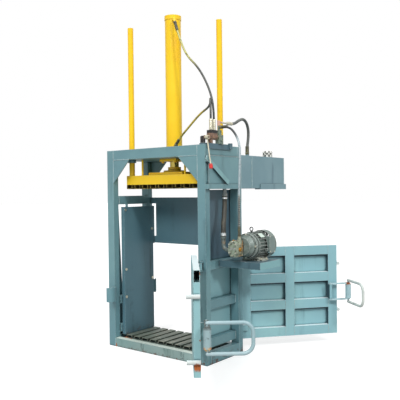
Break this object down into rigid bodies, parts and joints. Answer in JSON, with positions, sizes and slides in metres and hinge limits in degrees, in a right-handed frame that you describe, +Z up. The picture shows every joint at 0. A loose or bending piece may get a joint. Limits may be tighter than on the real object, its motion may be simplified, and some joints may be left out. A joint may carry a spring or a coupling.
{
  "type": "recycling baler",
  "caption": "Upright hydraulic recycling baler: steel frame, slatted floor and ram platen, two hinged doors with toggle latches, side motor, pump, tank and valve.",
  "frame": {"origin": "centre of the frame's footprint, on the floor", "axes": "+X to the machine's right (motor side), +Y to the back, +Z up"},
  "size_m": [2.2432, 2.4628, 3.327],
  "materials": {
    "frame_paint": "worn satin blue-grey enamel",
    "panel_paint": "worn blue-grey enamel",
    "door_paint": "lighter blue-grey enamel",
    "floor_paint": "enamel rubbed down to grey-beige",
    "yellow_paint": "yellow enamel",
    "steel_rod": "ground steel",
    "rusty_steel": "rusted bare steel",
    "motor_paint": "grey enamel over cast ribs",
    "pump_paint": "cream enamel with rust",
    "tank_paint": "blue-grey enamel",
    "valve_cast": "brown cast iron",
    "relief_cast": "greenish grey",
    "bright_steel": "zinc plated",
    "hose_rubber": "black rubber",
    "knob_red": "red moulded plastic",
    "cap_black": "cast aluminium"
  },
  "bodies": {
    "frame": {"back_catch": "frame_paint", "back_sill": "frame_paint", "back_upper_panel": "panel_paint", "bell_housing": "motor_paint", "bottom_hose": "hose_rubber", "cylinder_barrel": "yellow_paint", "cylinder_flange": "yellow_paint", "diagonal_brace": "frame_paint", "fan_cover": "motor_paint", "floor_plate": "panel_paint", "floor_slats": "floor_paint", "front_catch": "frame_paint", "front_sill": "frame_paint", "gear_pump": "pump_paint", "left_mid_rail": "frame_paint", "left_side_panel": "panel_paint", "lifting_eye": "bright_steel", "motor_housing": "motor_paint", "motor_shelf": "frame_paint", "oil_tank": "tank_paint", "panel_bolts": "bright_steel", "post_back_left": "frame_paint", "post_back_right": "frame_paint", "post_front_left": "frame_paint", "post_front_right": "frame_paint", "pressure_hose": "hose_rubber", "relief_valve": "relief_cast", "return_hose": "hose_rubber", "right_side_panel": "panel_paint", "right_upper_plate": "frame_paint", "side_rails": "frame_paint", "side_sills": "frame_paint", "suction_elbow": "rusty_steel", "suction_fitting": "bright_steel", "suction_hose": "hose_rubber", "terminal_box": "motor_paint", "top_back_beam": "frame_paint", "top_front_beam": "frame_paint", "top_hose": "hose_rubber", "top_plate": "frame_paint", "top_side_beams": "frame_paint", "valve_body": "valve_cast", "valve_bracket": "frame_paint"},
    "ram": {"piston_rod": "steel_rod", "guide_rods": "yellow_paint", "platen_box": "yellow_paint", "platen_top_plate": "yellow_paint", "platen_slats": "yellow_paint"},
    "front_door": {"front_door_frame": "door_paint", "front_door_sheet": "door_paint"},
    "rear_door": {"rear_door_frame": "door_paint", "rear_door_sheet": "door_paint"},
    "front_link": {"front_latch_link": "rusty_steel"},
    "front_handle": {"front_latch_handle": "door_paint"},
    "rear_link": {"rear_latch_link": "rusty_steel"},
    "rear_handle": {"rear_latch_handle": "door_paint"},
    "lever": {"valve_lever": "bright_steel", "lever_knob": "knob_red"},
    "rotor": {"motor_rotor": "steel_rod"},
    "cap": {"filler_cap": "cap_black"}
  },
  "joints": [
    {"name": "ram_slide", "type": "slide", "parent": "frame", "child": "ram", "axis": [0, 0, 1], "range_m": [-1.1, 0]},
    {"name": "front_door_hinge", "type": "hinge", "parent": "frame", "child": "front_door", "pos_m": [0.592, -0.317, 0.6], "axis": [0, 0, 1], "range_deg": [-130, 45]},
    {"name": "rear_door_hinge", "type": "hinge", "parent": "frame", "child": "rear_door", "pos_m": [0.56, 0.323, 0.6], "axis": [0, 0, 1], "range_deg": [-45, 130]},
    {"name": "front_link_hinge", "type": "hinge", "parent": "front_door", "child": "front_link", "pos_m": [1.2198, -1.0434, 0.54], "axis": [0, 0, 1], "range_deg": [0, 100]},
    {"name": "front_handle_hinge", "type": "hinge", "parent": "front_link", "child": "front_handle", "pos_m": [1.34322, -1.19048, 0.54], "axis": [0, 0, 1], "range_deg": [-90, 20]},
    {"name": "rear_link_hinge", "type": "hinge", "parent": "rear_door", "child": "rear_link", "pos_m": [1.19551, 1.0586, 0.54], "axis": [0, 0, 1], "range_deg": [-100, 0]},
    {"name": "rear_handle_hinge", "type": "hinge", "parent": "rear_link", "child": "rear_handle", "pos_m": [1.31893, 1.20568, 0.54], "axis": [0, 0, 1], "range_deg": [-20, 90]},
    {"name": "valve_lever_hinge", "type": "hinge", "parent": "frame", "child": "lever", "pos_m": [0.656, -0.274, 2.062], "axis": [1, 0, 0], "range_deg": [-10, 10], "stiffness_Nm_per_rad": 6},
    {"name": "rotor_spin", "type": "hinge", "parent": "frame", "child": "rotor", "pos_m": [0.88, 0.1, 1.075], "axis": [0, 1, 0], "continuous": true},
    {"name": "cap_turn", "type": "hinge", "parent": "frame", "child": "cap", "pos_m": [0.557, 0.9, 1.96], "axis": [0, 0, 1], "continuous": true}
  ]
}
